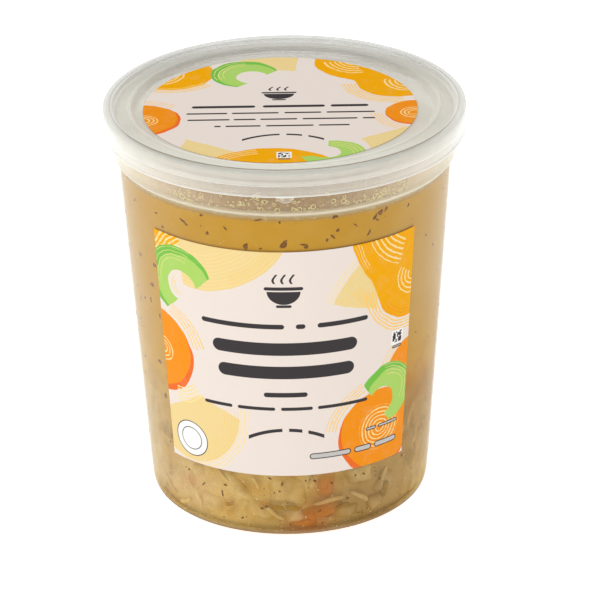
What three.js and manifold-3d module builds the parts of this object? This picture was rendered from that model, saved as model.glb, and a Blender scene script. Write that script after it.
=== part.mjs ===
// Chicken noodle soup in the round, see-through plastic tub that it is sold in, with its push-on lid and two labels.
// Millimetres, +Z up. The origin is the centre of the foot, on the surface that the tub stands on, and -Y is the front.
import * as THREE from "three";
import { mergeVertices } from "three/addons/utils/BufferGeometryUtils.js";
import Module from "manifold-3d";

const wasm = await Module();
wasm.setup();

// ---- driving dimensions ----

const SEGMENTS = 60; // facets round every turned piece, so that nested walls share their facets
const ARC_STEPS = 4; // facets in each rounded corner of a profile
const FIT_GAP = 0.3; // clearance between pieces that are pressed together
const LABEL_GAP = 0.1; // the glue under a label

const WALL = 0.8; // moulded wall of the tub and the lid
const FOOT_INNER = 34.5; // flat ring that the tub stands on
const FOOT_RECESS = 1.6; // how far the floor is raised inside that ring
const CORNER = 6; // outer radius between floor and wall
const BODY_FOOT_RADIUS = 46.1; // outer radius of the cone at the top of that corner
const SHOULDER_Z = 118.7; // where the cone ends and the stacking shoulder begins
const BODY_TOP_RADIUS = 54.15; // outer radius of the cone there
const NECK_RADIUS = 56.05;
const SHOULDER_HEIGHT = 2.5;
const RIM_RADIUS = 57.3; // bead round the mouth, which the lid is pressed over
const RIM_BOTTOM_Z = 131.9;
const RIM_TOP_Z = 133.8;

const LID_RADIUS = 59;
const LID_TOP_Z = 136.2;
const SKIRT_BOTTOM_Z = 127.5;
const SKIRT_RADIUS = 58.7; // the skirt is a little slimmer under its crest
const SKIRT_STEP_Z = 131.2;
const CREST_WIDTH = 2.6; // top of the crest that covers the rim
const BAND_Z = 134.9; // flat band inside the crest
const RIDGE_RADIUS = 50.2; // fine ridge round the sunken panel
const RIDGE_HEIGHT = 0.5;
const PANEL_Z = 133.3; // sunken panel that carries the label
const PANEL_RADIUS = 48.2;
const PLUG_RADIUS = NECK_RADIUS - WALL - FIT_GAP; // sealing lip inside the mouth
const PLUG_BOTTOM_Z = 131.8;
const GRIP_RADIUS = 56.9; // bump inside the skirt that grips under the rim
const TAB_RADIUS = 4.7; // pull tab, a disc that shows as a shallow half-moon under the skirt
const TAB_DROP = 2;
const TAB_THICKNESS = 0.7;
const TAB_STEPS = 24;

const SOUP_LEVEL_Z = 118.6;

const LABEL_THICKNESS = 0.25;
const WALL_LABEL_BOTTOM_Z = 24.4;
const WALL_LABEL_TOP_Z = 106.4;
const WALL_LABEL_SPAN = THREE.MathUtils.degToRad(102.5);
const WALL_LABEL_TURN = THREE.MathUtils.degToRad(-1); // its middle, round +Z from the front
const LID_LABEL_RADIUS = 44.5;
const LID_LABEL_OFFSET = -1.3; // it was stuck on a little to one side
const LID_LABEL_STEPS = 72;

// ---- turned pieces ----

const TAPER = Math.atan2(BODY_TOP_RADIUS - BODY_FOOT_RADIUS, SHOULDER_Z - CORNER);

// Outer radius of the conical wall at a height.
const coneRadius = (z) => BODY_FOOT_RADIUS + (z - CORNER) * Math.tan(TAPER);

const at = (radius, z) => new THREE.Vector2(radius, z);

// Points of an arc in a profile, from one angle to another in degrees, measured from the outward radius towards +Z.
function arc(centre, radius, from, to) {
  return Array.from({ length: ARC_STEPS + 1 }, (_, i) => {
    const angle = THREE.MathUtils.degToRad(from + ((to - from) * i) / ARC_STEPS);
    return at(centre.x + radius * Math.cos(angle), centre.y + radius * Math.sin(angle));
  });
}

// An S-shaped step between two points of a profile, upright at both ends.
function sweep(from, to) {
  return Array.from({ length: ARC_STEPS + 1 }, (_, i) => {
    const t = i / ARC_STEPS;
    const eased = (1 - Math.cos(Math.PI * t)) / 2;
    return at(from.x + (to.x - from.x) * eased, from.y + (to.y - from.y) * t);
  });
}

// Turns a profile round +Z. It runs outwards along the underside and back over the top.
const turned = (profile) => new THREE.LatheGeometry(profile, SEGMENTS).rotateX(Math.PI / 2);

// Profile of the tub's floor corner and cone, a given distance in from the outside.
function bodyOutline(inset, topZ) {
  const centre = at(BODY_FOOT_RADIUS - CORNER, CORNER);
  const taperDegrees = THREE.MathUtils.radToDeg(TAPER);
  return [...arc(centre, CORNER - inset, -90, -taperDegrees), at(coneRadius(topZ) - inset, topZ)];
}

function tubGeometry() {
  const innerFloorZ = FOOT_RECESS + WALL;
  const shoulderTop = SHOULDER_Z + SHOULDER_HEIGHT;
  const outside = [
    at(0, FOOT_RECESS),
    at(FOOT_INNER - FOOT_RECESS, FOOT_RECESS),
    at(FOOT_INNER, 0),
    ...bodyOutline(0, SHOULDER_Z),
    ...sweep(at(BODY_TOP_RADIUS, SHOULDER_Z), at(NECK_RADIUS, shoulderTop)).slice(1),
    at(NECK_RADIUS, RIM_BOTTOM_Z - 0.7),
    at(RIM_RADIUS, RIM_BOTTOM_Z),
    ...arc(at(RIM_RADIUS - 1, RIM_TOP_Z - 1), 1, 0, 90),
  ];
  const inside = [
    at(NECK_RADIUS - WALL + 0.4, RIM_TOP_Z),
    at(NECK_RADIUS - WALL, RIM_TOP_Z - 0.4),
    ...sweep(at(BODY_TOP_RADIUS - WALL, SHOULDER_Z), at(NECK_RADIUS - WALL, shoulderTop)).reverse(),
    ...bodyOutline(WALL, SHOULDER_Z).slice(0, -1).reverse(),
    at(FOOT_INNER + 1, WALL),
    at(FOOT_INNER - FOOT_RECESS, innerFloorZ),
    at(0, innerFloorZ),
  ];
  return turned([...outside, ...inside]);
}

function soupGeometry() {
  const inset = WALL + FIT_GAP;
  const floorZ = FOOT_RECESS + inset;
  return turned([
    at(0, floorZ),
    at(FOOT_INNER - FOOT_RECESS, floorZ),
    at(FOOT_INNER + 1, inset),
    ...bodyOutline(inset, SOUP_LEVEL_Z),
    at(0, SOUP_LEVEL_Z),
  ]);
}

function lidGeometry() {
  const bandUnderside = BAND_Z - WALL;
  const crestUnderside = LID_TOP_Z - WALL;
  const skirtInner = SKIRT_RADIUS - WALL;
  const crestOuter = LID_RADIUS - 1.2;
  const crestInner = crestOuter - CREST_WIDTH;
  const underside = [
    at(0, PANEL_Z - WALL),
    at(PANEL_RADIUS, PANEL_Z - WALL),
    at(RIDGE_RADIUS - 0.4, bandUnderside),
    at(PLUG_RADIUS - WALL, bandUnderside),
    at(PLUG_RADIUS - WALL, PLUG_BOTTOM_Z),
    at(PLUG_RADIUS, PLUG_BOTTOM_Z),
    at(PLUG_RADIUS, bandUnderside),
    at(crestInner + 0.7, bandUnderside),
    at(crestInner + 1.1, crestUnderside),
    at(skirtInner - 0.4, crestUnderside),
    at(skirtInner, crestUnderside - 0.5),
    at(skirtInner, RIM_BOTTOM_Z - 0.2),
    at(GRIP_RADIUS, RIM_BOTTOM_Z - 1),
    at(GRIP_RADIUS, RIM_BOTTOM_Z - 1.6),
    at(skirtInner, RIM_BOTTOM_Z - 2.4),
    at(skirtInner, SKIRT_BOTTOM_Z),
  ];
  const top = [
    at(SKIRT_RADIUS + 0.15, SKIRT_BOTTOM_Z),
    at(SKIRT_RADIUS + 0.15, SKIRT_BOTTOM_Z + 0.8),
    at(SKIRT_RADIUS, SKIRT_BOTTOM_Z + 1.1),
    at(SKIRT_RADIUS, SKIRT_STEP_Z),
    at(LID_RADIUS, SKIRT_STEP_Z + 0.5),
    at(LID_RADIUS, LID_TOP_Z - 1.9),
    ...arc(at(crestOuter, LID_TOP_Z - 1.2), 1.2, 15, 90),
    at(crestInner + 0.5, LID_TOP_Z - 0.15),
    at(crestInner, BAND_Z),
    at(RIDGE_RADIUS + 1, BAND_Z),
    at(RIDGE_RADIUS + 0.4, BAND_Z + RIDGE_HEIGHT),
    at(RIDGE_RADIUS - 0.4, BAND_Z + RIDGE_HEIGHT),
    at(RIDGE_RADIUS - 1, BAND_Z - 0.2),
    at(PANEL_RADIUS, PANEL_Z),
    at(0, PANEL_Z),
  ];
  return turned([...underside, ...top]);
}

// ---- joins and cuts ----

function toSolid(geometry) {
  const bare = geometry.clone();
  bare.deleteAttribute("normal");
  bare.deleteAttribute("uv");
  const merged = mergeVertices(bare, 1e-4);
  const mesh = new wasm.Mesh({
    numProp: 3,
    vertProperties: merged.attributes.position.array,
    triVerts: new Uint32Array(merged.index.array),
  });
  return new wasm.Manifold(mesh);
}

function toGeometry(solid) {
  const mesh = solid.getMesh();
  const geometry = new THREE.BufferGeometry();
  geometry.setAttribute("position", new THREE.BufferAttribute(mesh.vertProperties, mesh.numProp));
  geometry.setIndex(new THREE.BufferAttribute(mesh.triVerts, 1));
  geometry.computeVertexNormals();
  return geometry;
}

// The lid with its pull tab, at the front of the skirt.
function lidWithTabGeometry() {
  const outerFaceY = -(SKIRT_RADIUS - 0.1);
  const tab = new THREE.CylinderGeometry(TAB_RADIUS, TAB_RADIUS, TAB_THICKNESS, TAB_STEPS);
  tab.translate(0, outerFaceY + TAB_THICKNESS / 2, SKIRT_BOTTOM_Z - TAB_DROP + TAB_RADIUS);
  return toGeometry(toSolid(lidGeometry()).add(toSolid(tab)));
}

// A label that follows the cone: a whole ring, cut to the label's span by a wedge.
function wallLabelGeometry() {
  const inner = LABEL_GAP;
  const outer = LABEL_GAP + LABEL_THICKNESS;
  const ring = turned([
    at(coneRadius(WALL_LABEL_BOTTOM_Z) + inner, WALL_LABEL_BOTTOM_Z),
    at(coneRadius(WALL_LABEL_BOTTOM_Z) + outer, WALL_LABEL_BOTTOM_Z),
    at(coneRadius(WALL_LABEL_TOP_Z) + outer, WALL_LABEL_TOP_Z),
    at(coneRadius(WALL_LABEL_TOP_Z) + inner, WALL_LABEL_TOP_Z),
    at(coneRadius(WALL_LABEL_BOTTOM_Z) + inner, WALL_LABEL_BOTTOM_Z),
  ]);
  const reach = 2 * LID_RADIUS;
  const start = -Math.PI / 2 + WALL_LABEL_TURN - WALL_LABEL_SPAN / 2;
  const sector = new THREE.Shape();
  sector.moveTo(0, 0);
  sector.lineTo(reach * Math.cos(start), reach * Math.sin(start));
  sector.absarc(0, 0, reach, start, start + WALL_LABEL_SPAN, false);
  sector.closePath();
  const wedge = new THREE.ExtrudeGeometry(sector, { depth: LID_TOP_Z, bevelEnabled: false, curveSegments: 8 });
  return toGeometry(toSolid(ring).intersect(toSolid(wedge)));
}

function lidLabelGeometry() {
  const disc = new THREE.CylinderGeometry(LID_LABEL_RADIUS, LID_LABEL_RADIUS, LABEL_THICKNESS, LID_LABEL_STEPS);
  return disc.rotateX(Math.PI / 2);
}

// ---- the object ----

const clearPlastic = new THREE.MeshStandardMaterial({ color: 0xe9e8e0, roughness: 0.35, metalness: 0, opacity: 0.5 });
const broth = new THREE.MeshStandardMaterial({ color: 0xc39a52, roughness: 0.4, metalness: 0 });
const labelPaper = new THREE.MeshStandardMaterial({ color: 0xeadfd6, roughness: 0.45, metalness: 0 });

function piece(name, geometry, material) {
  const mesh = new THREE.Mesh(geometry, material);
  mesh.name = name;
  return mesh;
}

const soupTub = new THREE.Group();
soupTub.add(piece("tub", tubGeometry(), clearPlastic));
soupTub.add(piece("soup", soupGeometry(), broth));
soupTub.add(piece("lid", lidWithTabGeometry(), clearPlastic));
soupTub.add(piece("wall_label", wallLabelGeometry(), labelPaper));

const lidLabel = piece("lid_label", lidLabelGeometry(), labelPaper);
lidLabel.position.set(LID_LABEL_OFFSET, 0, PANEL_Z + LABEL_GAP + LABEL_THICKNESS / 2);
soupTub.add(lidLabel);

export default soupTub;
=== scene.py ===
"""Chicken noodle soup in a see-through tub with a push-on lid, a label on its wall and one on its lid."""

import math
import random

import bmesh
import bpy
import numpy as np
from mathutils import Matrix, Vector


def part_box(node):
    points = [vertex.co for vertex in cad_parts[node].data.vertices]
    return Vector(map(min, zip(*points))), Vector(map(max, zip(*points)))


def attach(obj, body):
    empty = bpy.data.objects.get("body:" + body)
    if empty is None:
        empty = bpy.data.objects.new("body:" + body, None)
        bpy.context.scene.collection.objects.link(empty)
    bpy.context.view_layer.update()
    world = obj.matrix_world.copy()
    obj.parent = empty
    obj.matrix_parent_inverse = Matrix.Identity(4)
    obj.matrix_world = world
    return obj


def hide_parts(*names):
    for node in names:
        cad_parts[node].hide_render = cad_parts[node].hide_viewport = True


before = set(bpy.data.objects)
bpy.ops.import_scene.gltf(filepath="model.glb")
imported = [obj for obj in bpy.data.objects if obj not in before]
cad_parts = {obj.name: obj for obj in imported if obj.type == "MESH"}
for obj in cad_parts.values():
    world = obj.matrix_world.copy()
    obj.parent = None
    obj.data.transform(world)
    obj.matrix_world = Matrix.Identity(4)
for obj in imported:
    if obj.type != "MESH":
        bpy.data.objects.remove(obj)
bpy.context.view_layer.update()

MM = 0.001  # metres in a millimetre: sizes below are in millimetres, and meshes are in metres


def node_span(node):
    """Lowest height, highest height and outer radius of a CAD node, in millimetres."""
    low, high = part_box(node)
    return low.z / MM, high.z / MM, (high.y - low.y) / 2 / MM


# ---- driving dimensions, in millimetres ----

_, TUB_TOP, RIM_RADIUS = node_span("tub")
TAB_BOTTOM, LID_TOP, LID_RADIUS = node_span("lid")
_, SOUP_LEVEL, _ = node_span("soup")
LABEL_BOTTOM, LABEL_TOP, _ = node_span("wall_label")
_, _, LID_LABEL_RADIUS = node_span("lid_label")
LID_LABEL_X = sum(corner.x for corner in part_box("lid_label")) / 2 / MM

WALL = 0.8
SOUP_IN = 0.4  # from the wall's outer face to the soup's, which reaches into the wall and leaves no air gap
FOOT_INNER = 34.5
FOOT_RECESS = 1.6
CORNER = 6
CONE_BOTTOM_RADIUS = 46.1
CONE_TOP_RADIUS = 54.15
SHOULDER = 118.7
SHOULDER_HEIGHT = 2.5
NECK_RADIUS = 56.05
RIM_BOTTOM = 131.9

TAB_RADIUS = 3.3
TAB_DROP = 2  # the pull tab hangs this far below the skirt
TAB_THICKNESS = 0.7
SKIRT_BOTTOM = TAB_BOTTOM + TAB_DROP
SKIRT_RADIUS = 58.7
SKIRT_STEP = 131.2
BAND = 134.9
CREST_INNER = LID_RADIUS - 3.8
RIDGE_RADIUS = 50.2
PANEL = 133.3
PANEL_RADIUS = 48.2
PLUG_RADIUS = NECK_RADIUS - WALL - 0.3
PLUG_BOTTOM = 131.8

LABEL_LIFT = 0.04
LABEL_THICKNESS = 0.2
WALL_LABEL_SPAN = math.radians(102.5)
WALL_LABEL_TURN = math.radians(-1)
LABEL_MEAN_RADIUS = 50

SEED = 11
FULL_TURN = 6.28  # radians, for random turns
CORE_DEPTH = 2.3  # from the soup's face to the part of the soup that is too cloudy to see into
UNDER_FACE = 0.1  # a depth of nothing is this far inside the soup's face
LOWEST = 0.9  # nothing in the soup reaches lower

# how many small things there are, besides the larger ones that have a place of their own
NOODLES, CHICKEN_LUMPS, CHICKEN_SHREDS, CARROTS, CELERY_STRIPS = 64, 26, 80, 22, 70
TINY_HERBS, SIDE_HERBS, CRUMBS = 420, 130, 1100
NECK_DROPS, LID_DROPS, BUBBLES, BUBBLE_CLUSTERS = 900, 1100, 420, 70

TAPER = math.atan2(CONE_TOP_RADIUS - CONE_BOTTOM_RADIUS, SHOULDER - CORNER)


def cone_radius(z):
    """Outer radius of the tapering wall at a height."""
    return CONE_BOTTOM_RADIUS + (z - CORNER) * math.tan(TAPER)


def soup_radius(z):
    """Radius of the soup's face, with the rounded corner at the floor."""
    if z >= CORNER:
        return cone_radius(z) - SOUP_IN
    inner = CORNER - SOUP_IN
    drop = min(CORNER - z, inner)
    return CONE_BOTTOM_RADIUS - CORNER + math.sqrt(inner**2 - drop**2)


# ---- meshes ----


def in_scene(name, data):
    """A new object in the scene, made of a mesh, a light or a camera."""
    made = bpy.data.objects.new(name, data)
    bpy.context.scene.collection.objects.link(made)
    return made


def new_piece(name, mesh, material, replaces):
    """Puts a finished mesh, in metres, into the scene as a piece of the object."""
    piece = in_scene(name, mesh)
    mesh.materials.append(material)
    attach(piece, "root")
    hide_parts(replaces)


def smooth(mesh, crease=40):
    """Smooth shading, kept crisp where faces meet at more than crease degrees."""
    mesh.polygons.foreach_set("use_smooth", [True] * len(mesh.polygons))
    mesh.set_sharp_from_angle(angle=math.radians(crease))
    return mesh


def mesh_of(name, vertices, faces, crease=40):
    """A mesh from points in millimetres, with double points merged and its faces turned outwards."""
    mesh = bpy.data.meshes.new(name)
    mesh.from_pydata([tuple(c * MM for c in v) for v in vertices], [], faces)
    shape = bmesh.new()
    shape.from_mesh(mesh)
    bmesh.ops.remove_doubles(shape, verts=shape.verts, dist=1e-7)
    bmesh.ops.recalc_face_normals(shape, faces=shape.faces)
    shape.to_mesh(mesh)
    shape.free()
    return smooth(mesh, crease)


def arc(centre, radius, start, end, steps=8):
    """Points of a profile's arc, from one angle to another in degrees, measured from the outward radius."""
    angles = np.radians(np.linspace(start, end, steps + 1))
    return [(centre[0] + radius * math.cos(a), centre[1] + radius * math.sin(a)) for a in angles]


def circle(count):
    """Angles that go once round in even steps, in radians."""
    return [2 * math.pi * i / count for i in range(count)]


def around(turn, radius, height):
    """The point a radius from the upright axis, turned in radians to the right of the front."""
    return (radius * math.sin(turn), -radius * math.cos(turn), height)


def sweep(start, end, steps=12):
    """An S-shaped step between two points of a profile, upright at both ends."""
    rise = np.linspace(0, 1, steps + 1)
    across = (1 - np.cos(np.pi * rise)) / 2
    return [
        (start[0] + (end[0] - start[0]) * a, start[1] + (end[1] - start[1]) * r)
        for a, r in zip(across, rise)
    ]


def rounded(corners, radius, steps=4):
    """A profile with its inner corners rounded off, each by at most a third of its shorter side."""
    points = [corners[0]]
    for before, corner, after in zip(corners, corners[1:], corners[2:]):
        corner, before, after = Vector(corner), Vector(before), Vector(after)
        reach = min(radius, (corner - before).length / 3, (after - corner).length / 3)
        start = corner + (before - corner).normalized() * reach
        end = corner + (after - corner).normalized() * reach
        for i in range(steps + 1):
            t = i / steps
            points.append(tuple((1 - t) ** 2 * start + 2 * t * (1 - t) * corner + t**2 * end))
    return points + [corners[-1]]


def turned(name, profile, segments=192):
    """A profile of radius and height turned round the upright axis. It starts and ends on that axis."""
    vertices, faces = [], []
    for angle in circle(segments):
        vertices += [(r * math.cos(angle), r * math.sin(angle), z) for r, z in profile]
    count = len(profile)
    for i in range(segments):
        here, beside = i * count, (i + 1) % segments * count
        faces += [(here + j, beside + j, beside + j + 1, here + j + 1) for j in range(count - 1)]
    return mesh_of(name, vertices, faces)


class Pile:
    """Closed shapes gathered into one mesh, in millimetres."""

    def __init__(self):
        self.vertices, self.faces = [], []

    def skin(self, rings, hoop=False):
        """A skin over rings of points, closed by a fan at each end, or end to end as a hoop."""
        start, count, last = len(self.vertices), len(rings[0]), len(rings) - 1
        for ring in rings:
            self.vertices += ring
        for i in range(last + hoop):
            here, beside = start + i * count, start + (i + 1) % (last + 1) * count
            for j in range(count):
                k = (j + 1) % count
                self.faces.append((here + j, here + k, beside + k, beside + j))
        if hoop:
            return
        for i, ring in ((0, rings[0]), (last, rings[last])):
            middle = len(self.vertices)
            self.vertices.append(tuple(sum(c) / count for c in zip(*ring)))
            for j in range(count):
                self.faces.append((start + i * count + j, start + i * count + (j + 1) % count, middle))

    def piece(self, name, material, slot="soup", replaces="soup"):
        new_piece(name, mesh_of(name, self.vertices, self.faces, 60), material, replaces)


# ---- patterns: numbers and colours that vary over a surface ----


def srgb(red, green, blue):
    """A colour from its usual 0 to 255 values, as the linear values that shaders take."""
    parts = [c / 255 for c in (red, green, blue)]
    return (*(c / 12.92 if c <= 0.04045 else ((c + 0.055) / 1.055) ** 2.4 for c in parts), 1)


def add_node(tree, kind, inputs=(), **settings):
    """A shader node with its settings, and its inputs linked to fields and sockets or set to plain values."""
    node = tree.nodes.new(kind)
    for name, value in settings.items():
        setattr(node, name, value)
    for key, value in inputs.items() if isinstance(inputs, dict) else enumerate(inputs):
        value = value.socket if isinstance(value, Field) else value
        if isinstance(value, bpy.types.NodeSocket):
            tree.links.new(value, node.inputs[key])
        else:
            node.inputs[key].default_value = value
    return node


class Field:
    """A number that varies over a surface, with arithmetic of its own: the output of a shader node."""

    def __init__(self, socket):
        self.socket = socket
        self.tree = socket.id_data

    def __add__(self, other):
        return calculate("ADD", self, other)

    def __sub__(self, other):
        return calculate("SUBTRACT", self, other)

    def __rsub__(self, other):
        return calculate("SUBTRACT", other, self)

    def __mul__(self, other):
        return calculate("MULTIPLY", self, other)

    def __truediv__(self, other):
        return calculate("DIVIDE", self, other)

    def __neg__(self):
        return calculate("MULTIPLY", self, -1)

    def __abs__(self):
        return calculate("ABSOLUTE", self)

    __radd__ = __add__
    __rmul__ = __mul__

    def between(self, low, high):
        """0 up to low, 1 from high, and a smooth rise from one to the other."""
        settings = {"interpolation_type": "SMOOTHSTEP"}
        return Field(add_node(self.tree, "ShaderNodeMapRange", (self, low, high), **settings).outputs[0])


def calculate(operation, *values):
    """One of Blender's math nodes, on numbers of which at least one is a field."""
    tree = next(value.tree for value in values if isinstance(value, Field))
    return Field(add_node(tree, "ShaderNodeMath", values, operation=operation).outputs[0])


def least(first, second):
    return calculate("MINIMUM", first, second)


def most(first, *others):
    for other in others:
        first = calculate("MAXIMUM", first, other)
    return first


def length(across, up):
    return calculate("SQRT", across * across + up * up)


def close_to(field, value, full, gone):
    """1 where a field is within full of a value, and 0 where it is further off than gone."""
    return 1 - abs(field - value).between(full, gone)


class Look:
    """The shader nodes of one material. Its place is the point on the piece, in the row frame and in metres.
    Its spot is that point's three coordinates as fields, in millimetres."""

    def __init__(self, tree):
        self.tree = tree
        self.place = self.add("ShaderNodeTexCoord").outputs["Object"]
        self.spot = [Field(output) / MM for output in self.add("ShaderNodeSeparateXYZ", [self.place]).outputs]

    def add(self, kind, inputs=(), **settings):
        return add_node(self.tree, kind, inputs, **settings)

    def blend(self, under, over, share):
        """The colour under, with the colour over laid on it by its share."""
        return self.add("ShaderNodeMix", {0: share, 6: under, 7: over}, data_type="RGBA").outputs[2]

    def noise(self, size, detail=2, roughness=0.5, place=None):
        """A soft random field around 0.5, with features about size millimetres across."""
        place = self.place if place is None else place
        inputs = {"Vector": place, "Scale": 1 / (size * MM), "Detail": detail, "Roughness": roughness}
        return Field(self.add("ShaderNodeTexNoise", inputs).outputs["Fac"])

    def bumps(self, height, depth):
        """A normal that follows a field of heights from 0 to 1, depth millimetres deep."""
        inputs = {"Height": height, "Distance": depth * MM, "Strength": 1}
        return self.add("ShaderNodeBump", inputs).outputs[0]

    def slant(self, power):
        """0 where a face is seen square on, to 1 at its outline."""
        layer = self.add("ShaderNodeLayerWeight", {"Blend": 0.5})
        return calculate("POWER", Field(layer.outputs["Facing"]), power)

    def mixed(self, share, first, second):
        """One shader turning into another."""
        return self.add("ShaderNodeMixShader", (share, first, second)).outputs[0]

    def solid(self, colour, roughness, gloss, **others):
        """A surface that nothing shows through."""
        inputs = {"Base Color": colour, "Roughness": roughness, "Specular IOR Level": gloss, **others}
        return self.add("ShaderNodeBsdfPrincipled", inputs).outputs[0]

    def thin(self, share, body):
        """A surface that hides a share of what is behind it."""
        clear = self.add("ShaderNodeBsdfTransparent", [(1, 1, 1, 1)]).outputs[0]
        return self.mixed(share, clear, body)

    def film(self, colour, thickness, roughness, normal=None, edge=0.75, gleam=1, steep=1.8):
        """One face of a milky, glossy, see-through wall, which hides more where it is seen at a slant."""
        hidden = least(thickness + (edge - thickness) * self.slant(steep), 1)
        milk = self.solid(colour, 0.6, 0)
        gloss = self.add("ShaderNodeBsdfGlossy", {"Color": (1, 1, 1, 1), "Roughness": roughness})
        mirror = self.add("ShaderNodeFresnel", {"IOR": 1.4})
        if normal:
            for node in (milk.node, gloss, mirror):
                self.tree.links.new(normal, node.inputs["Normal"])
        outside = 1 - Field(self.add("ShaderNodeNewGeometry").outputs["Backfacing"])
        shine = gleam * outside * Field(mirror.outputs[0])
        return self.mixed(shine, self.thin(hidden, milk), gloss.outputs[0])


def material(name, shader):
    """A material whose surface is what shader makes in its node tree."""
    made = bpy.data.materials.new(name)
    made.use_nodes = True
    tree = made.node_tree
    tree.nodes.clear()
    output = tree.nodes.new("ShaderNodeOutputMaterial")
    tree.links.new(shader(Look(tree)), output.inputs["Surface"])
    return made


# ---- the tub and its lid ----


def tub_profile():
    """The moulded tub, from the middle of its raised floor out and up, over the rim and back down inside."""
    shoulder_top = SHOULDER + SHOULDER_HEIGHT
    taper = math.degrees(TAPER)
    corner = (CONE_BOTTOM_RADIUS - CORNER, CORNER)
    recess = FOOT_INNER - FOOT_RECESS
    foot = [(recess - 4, FOOT_RECESS), (recess, FOOT_RECESS), (FOOT_INNER, 0), (FOOT_INNER + 3, 0)]
    cone = [(cone_radius(z), z) for z in np.linspace(CORNER + 4, SHOULDER - 4, 9)]
    neck = rounded(
        [
            (NECK_RADIUS, RIM_BOTTOM - 3),
            (NECK_RADIUS, RIM_BOTTOM - 0.7),
            (RIM_RADIUS, RIM_BOTTOM),
            (RIM_RADIUS, TUB_TOP),
            (NECK_RADIUS - WALL, TUB_TOP),
            (NECK_RADIUS - WALL, RIM_BOTTOM - 3),
        ],
        0.7,
    )
    outer_shoulder = sweep((CONE_TOP_RADIUS, SHOULDER), (NECK_RADIUS, shoulder_top))
    inner_shoulder = sweep((CONE_TOP_RADIUS - WALL, SHOULDER), (NECK_RADIUS - WALL, shoulder_top))
    return [
        (0, FOOT_RECESS),
        *rounded(foot, 0.6),
        *arc(corner, CORNER, -90, -taper),
        *cone,
        *outer_shoulder,
        *neck,
        *reversed(inner_shoulder),
        *((r - WALL, z) for r, z in reversed(cone)),
        *reversed(arc(corner, CORNER - WALL, -90, -taper)),
        (FOOT_INNER + 1, WALL),
        (recess, FOOT_RECESS + WALL),
        (0, FOOT_RECESS + WALL),
    ]


def lid_profile():
    """The lid, from the middle of its underside out, down the skirt and back over the crest to its panel."""
    crest_outer = LID_RADIUS - 0.2
    under_band, under_crest = BAND - WALL, LID_TOP - WALL
    inner_skirt = SKIRT_RADIUS - WALL
    corners = [
        (PANEL_RADIUS - 4, PANEL - WALL),
        (PANEL_RADIUS, PANEL - WALL),
        (RIDGE_RADIUS - 0.4, under_band),
        (PLUG_RADIUS - WALL, under_band),
        (PLUG_RADIUS - WALL, PLUG_BOTTOM),
        (PLUG_RADIUS, PLUG_BOTTOM),
        (PLUG_RADIUS, under_band),
        (CREST_INNER + 0.7, under_band),
        (CREST_INNER + 1.1, under_crest),
        (inner_skirt, under_crest),
        (inner_skirt, RIM_BOTTOM - 0.2),
        (inner_skirt - 1, RIM_BOTTOM - 1),
        (inner_skirt - 1, RIM_BOTTOM - 1.6),
        (inner_skirt, RIM_BOTTOM - 2.4),
        (inner_skirt, SKIRT_BOTTOM),
        (SKIRT_RADIUS + 0.15, SKIRT_BOTTOM),
        (SKIRT_RADIUS + 0.15, SKIRT_BOTTOM + 0.8),
        (SKIRT_RADIUS, SKIRT_BOTTOM + 1.1),
        (SKIRT_RADIUS, SKIRT_STEP),
        (LID_RADIUS, SKIRT_STEP + 0.5),
        (LID_RADIUS, LID_TOP - 1.6),
        (crest_outer, LID_TOP - 0.5),
        (crest_outer - 0.9, LID_TOP),
        (CREST_INNER + 0.5, LID_TOP - 0.15),
        (CREST_INNER, BAND),
        (RIDGE_RADIUS + 1, BAND),
        (RIDGE_RADIUS + 0.4, BAND + 0.5),
        (RIDGE_RADIUS - 0.4, BAND + 0.5),
        (RIDGE_RADIUS - 1, BAND - 0.2),
        (PANEL_RADIUS, PANEL),
        (PANEL_RADIUS - 4, PANEL),
    ]
    return [(0, PANEL - WALL), *rounded(corners, 0.45), (0, PANEL)]


def tub_plastic(look):
    """Clear, faintly milky plastic. Above the soup it is fogged from inside."""
    x, y, z = look.spot
    above = z.between(SOUP_LEVEL - 0.5, SOUP_LEVEL + 2.5)
    fog = above * look.noise(1.6, 4, 0.7).between(0.25, 0.75)
    inside = 1 - length(x, y).between(NECK_RADIUS - 0.5, NECK_RADIUS - 0.4)
    thickness = 0.004 + 0.008 * look.noise(9) + inside * (0.1 * above + 0.16 * fog)
    wet = z.between(0, 14)
    edge = 0.04 + 0.44 * wet + 0.12 * z.between(20, 90) + (0.22 + 0.14 * inside) * above
    scuffs = look.bumps(look.noise(14, 3), 0.2)
    tan = look.blend(srgb(254, 210, 146), srgb(248, 246, 234), look.slant(0.5))
    # Painted shade: the milk darkens towards the lower right, the side away from the key light.
    right = x.between(5, 45) * (1 - z.between(50, 90))
    milk = look.blend(srgb(206, 199, 178), srgb(180, 154, 110), right)
    milk = look.blend(milk, tan, above)
    # The foot turns opaque and dark amber: the soup's colour through the plastic, darkened by painted shade
    # where the bottom corner faces the floor.
    foot = 1 - z.between(1.2, 3.6)
    edge = edge + 0.8 * foot
    thickness = thickness + 0.8 * foot
    milk = look.blend(milk, srgb(158, 110, 16), foot)
    gleam = (0.1 + 0.35 * wet + 0.3 * above) * (1 - foot)
    return look.film(milk, thickness, 0.13, scuffs, edge, gleam, 1.7 - 0.7 * above)


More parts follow.
